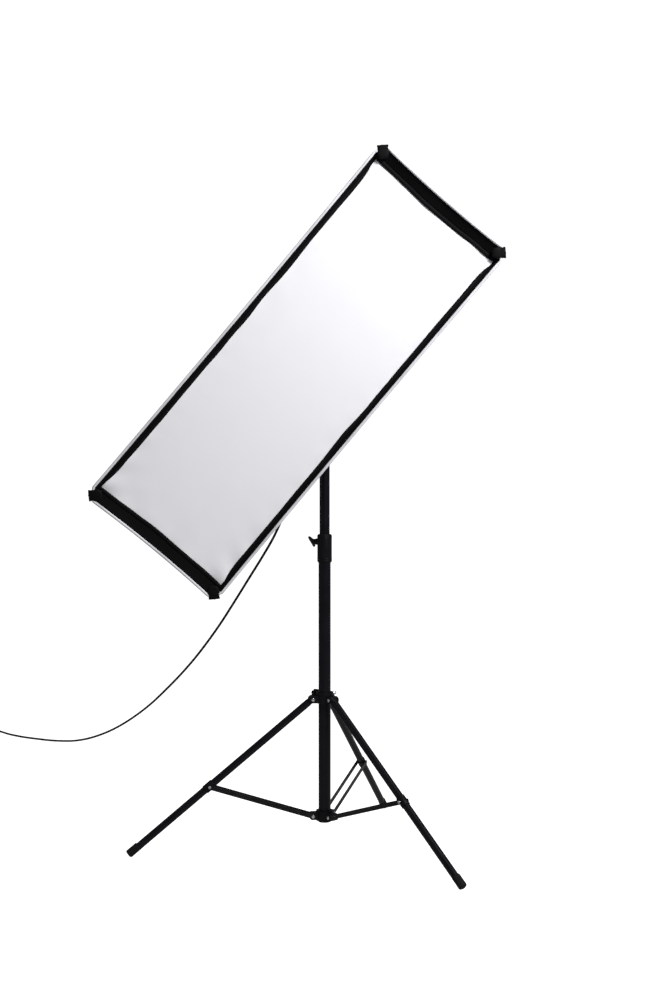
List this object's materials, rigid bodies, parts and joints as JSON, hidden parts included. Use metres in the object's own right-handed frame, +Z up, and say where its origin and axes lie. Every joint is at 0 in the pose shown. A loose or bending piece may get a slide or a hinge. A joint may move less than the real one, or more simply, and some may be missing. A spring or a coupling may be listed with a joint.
{
  "type": "studio softbox",
  "caption": "Strip softbox on a tilting studio lamp head, carried by a folding telescopic stand, with a mains lead.",
  "frame": {"origin": "on the floor, under the axis of the stand's column", "axes": "+Z up along the column; the softbox faces about -Y; +X is to the right seen from in front"},
  "size_m": [1.7576, 2.2747, 1.6484],
  "materials": {
    "painted_tube": "satin",
    "moulded_black": "matte",
    "black_straps": "satin",
    "rubber_feet": "matte",
    "bright_steel": "brushed",
    "cast_black": "satin",
    "head_casing": "textured",
    "clear_glass": "clear",
    "lamp_glass": "frosted",
    "green_board": "matte",
    "button_grey": "gloss",
    "black_cloth": "woven",
    "grey_piping": "woven",
    "white_diffuser": "woven",
    "lead_sheath": "satin"
  },
  "bodies": {
    "column": {"column_lower": "painted_tube", "column_plug": "moulded_black", "spreader_collar": "moulded_black", "spreader_pins": "bright_steel", "column_clamp": "moulded_black", "cord_coil": "lead_sheath", "mains_plug": "lead_sheath", "cord_drop": "lead_sheath"},
    "clamp_knob": {"clamp_knob": "moulded_black"},
    "leg_carrier": {"leg_collar": "moulded_black", "leg_collar_pins": "bright_steel"},
    "leg_collar_knob": {"leg_collar_knob": "moulded_black"},
    "leg_a": {"leg_tube_a": "painted_tube", "leg_end_a": "moulded_black", "leg_foot_a": "rubber_feet"},
    "leg_b": {"leg_tube_b": "painted_tube", "leg_end_b": "moulded_black", "leg_foot_b": "rubber_feet"},
    "leg_c": {"leg_tube_c": "painted_tube", "leg_end_c": "moulded_black", "leg_foot_c": "rubber_feet"},
    "brace_a": {"brace_a": "black_straps"},
    "brace_b": {"brace_b": "black_straps"},
    "brace_c": {"brace_c": "black_straps"},
    "mast": {"column_upper": "painted_tube", "mast_bushes": "moulded_black", "spigot": "bright_steel", "cord_upper": "lead_sheath"},
    "bracket": {"bracket_socket": "cast_black", "bracket_arm": "cast_black", "bracket_bolts": "bright_steel", "pivot_bolt": "bright_steel", "cord_tail": "lead_sheath"},
    "spigot_knob": {"spigot_knob": "moulded_black"},
    "tilt_lever": {"tilt_lever": "moulded_black"},
    "head": {"left_shell": "head_casing", "right_shell": "head_casing", "front_bezel": "moulded_black", "bayonet_insert": "bright_steel", "rear_panel": "moulded_black", "handle": "moulded_black", "glass_dome": "clear_glass", "flash_tube": "lamp_glass", "modelling_lamp": "lamp_glass", "flash_board": "green_board", "fan": "moulded_black", "power_inlet": "moulded_black", "lead_connector": "lead_sheath"},
    "power_switch": {"power_switch": "moulded_black"},
    "dimmer_knob": {"dimmer_knob": "moulded_black"},
    "test_button": {"test_button": "button_grey"},
    "softbox": {"speedring": "cast_black", "rods": "bright_steel", "shell_panels": "black_cloth", "rear_collar": "black_cloth", "rim_piping": "grey_piping", "corner_caps": "black_cloth", "diffuser": "white_diffuser", "inner_baffle": "white_diffuser"},
    "ring_lock": {"ring_lock": "bright_steel"}
  },
  "joints": [
    {"name": "leg_fold", "type": "slide", "parent": "column", "child": "leg_carrier", "axis": [0, 0, 1], "range_m": [0, 0.30632]},
    {"name": "leg_hinge_a", "type": "hinge", "parent": "leg_carrier", "child": "leg_a", "pos_m": [-0.03053, -0.00538, 0.369], "axis": [0.1736, -0.9848, 0], "range_deg": [0, 50.95]},
    {"name": "leg_hinge_b", "type": "hinge", "parent": "leg_carrier", "child": "leg_b", "pos_m": [0.01993, -0.02375, 0.369], "axis": [0.766, 0.6428, 0], "range_deg": [0, 50.95]},
    {"name": "leg_hinge_c", "type": "hinge", "parent": "leg_carrier", "child": "leg_c", "pos_m": [0.0106, 0.02913, 0.369], "axis": [-0.9397, 0.342, 0], "range_deg": [0, 50.95]},
    {"name": "brace_hinge_a", "type": "hinge", "parent": "column", "child": "brace_a", "pos_m": [-0.03053, -0.00538, 0.082], "axis": [-0.1736, 0.9848, 0], "range_deg": [0, 72.39]},
    {"name": "brace_hinge_b", "type": "hinge", "parent": "column", "child": "brace_b", "pos_m": [0.01993, -0.02375, 0.082], "axis": [-0.766, -0.6428, 0], "range_deg": [0, 72.39]},
    {"name": "brace_hinge_c", "type": "hinge", "parent": "column", "child": "brace_c", "pos_m": [0.0106, 0.02913, 0.082], "axis": [0.9397, -0.342, 0], "range_deg": [0, 72.39]},
    {"name": "mast_slide", "type": "slide", "parent": "column", "child": "mast", "axis": [0, 0, 1], "range_m": [-0.2, 0.28], "deforming": ["cord_drop"]},
    {"name": "clamp_knob_turn", "type": "hinge", "parent": "column", "child": "clamp_knob", "pos_m": [-0.02719, 0.01268, 0.757], "axis": [-0.9063, 0.4226, 0], "range_deg": [0, 180]},
    {"name": "collar_knob_turn", "type": "hinge", "parent": "leg_carrier", "child": "leg_collar_knob", "pos_m": [-0.01928, 0.02298, 0.378], "axis": [-0.6428, 0.766, 0], "range_deg": [0, 180]},
    {"name": "pan", "type": "hinge", "parent": "mast", "child": "bracket", "pos_m": [0, 0, 1.03], "axis": [0, 0, 1], "range_deg": [-90, 90], "deforming": ["cord_upper"]},
    {"name": "spigot_knob_turn", "type": "hinge", "parent": "bracket", "child": "spigot_knob", "pos_m": [-0.00188, 0.02994, 1.028], "axis": [-0.0628, 0.998, 0], "range_deg": [0, 180]},
    {"name": "tilt", "type": "hinge", "parent": "bracket", "child": "head", "pos_m": [0, 0, 1.163], "axis": [0.998, 0.0628, 0], "range_deg": [-60, 30], "deforming": ["cord_tail"]},
    {"name": "tilt_lever_turn", "type": "hinge", "parent": "bracket", "child": "tilt_lever", "pos_m": [0.01198, 0.00075, 1.163], "axis": [0.998, 0.0628, 0], "range_deg": [-60, 30]},
    {"name": "power_switch_rock", "type": "hinge", "parent": "head", "child": "power_switch", "pos_m": [-0.11716, 0.11039, 1.12871], "axis": [0.998, 0.0628, 0], "range_deg": [-18, 0]},
    {"name": "dimmer_turn", "type": "hinge", "parent": "head", "child": "dimmer_knob", "pos_m": [-0.11026, 0.11211, 1.18492], "axis": [-0.0627, 0.9958, 0.0663], "range_deg": [0, 270]},
    {"name": "test_button_press", "type": "slide", "parent": "head", "child": "test_button", "axis": [0.0627, -0.9958, -0.0663], "range_m": [0, 0.0015], "stiffness_N_per_m": 400},
    {"name": "softbox_roll", "type": "hinge", "parent": "head", "child": "softbox", "pos_m": [-0.07208, -0.11251, 1.15584], "axis": [0.0627, -0.9958, -0.0663], "continuous": true},
    {"name": "ring_lock_turn", "type": "hinge", "parent": "softbox", "child": "ring_lock", "pos_m": [-0.0206, -0.11345, 1.21707], "axis": [0.6434, -0.0105, 0.7655], "range_deg": [0, 180]}
  ],
  "couplings": [
    {"joint": "leg_hinge_a", "follows": "leg_fold", "rad_per_m": 2.9003},
    {"joint": "leg_hinge_b", "follows": "leg_fold", "rad_per_m": 2.9003},
    {"joint": "leg_hinge_c", "follows": "leg_fold", "rad_per_m": 2.9003},
    {"joint": "brace_hinge_a", "follows": "leg_fold", "rad_per_m": 4.1219},
    {"joint": "brace_hinge_b", "follows": "leg_fold", "rad_per_m": 4.1219},
    {"joint": "brace_hinge_c", "follows": "leg_fold", "rad_per_m": 4.1219}
  ]
}
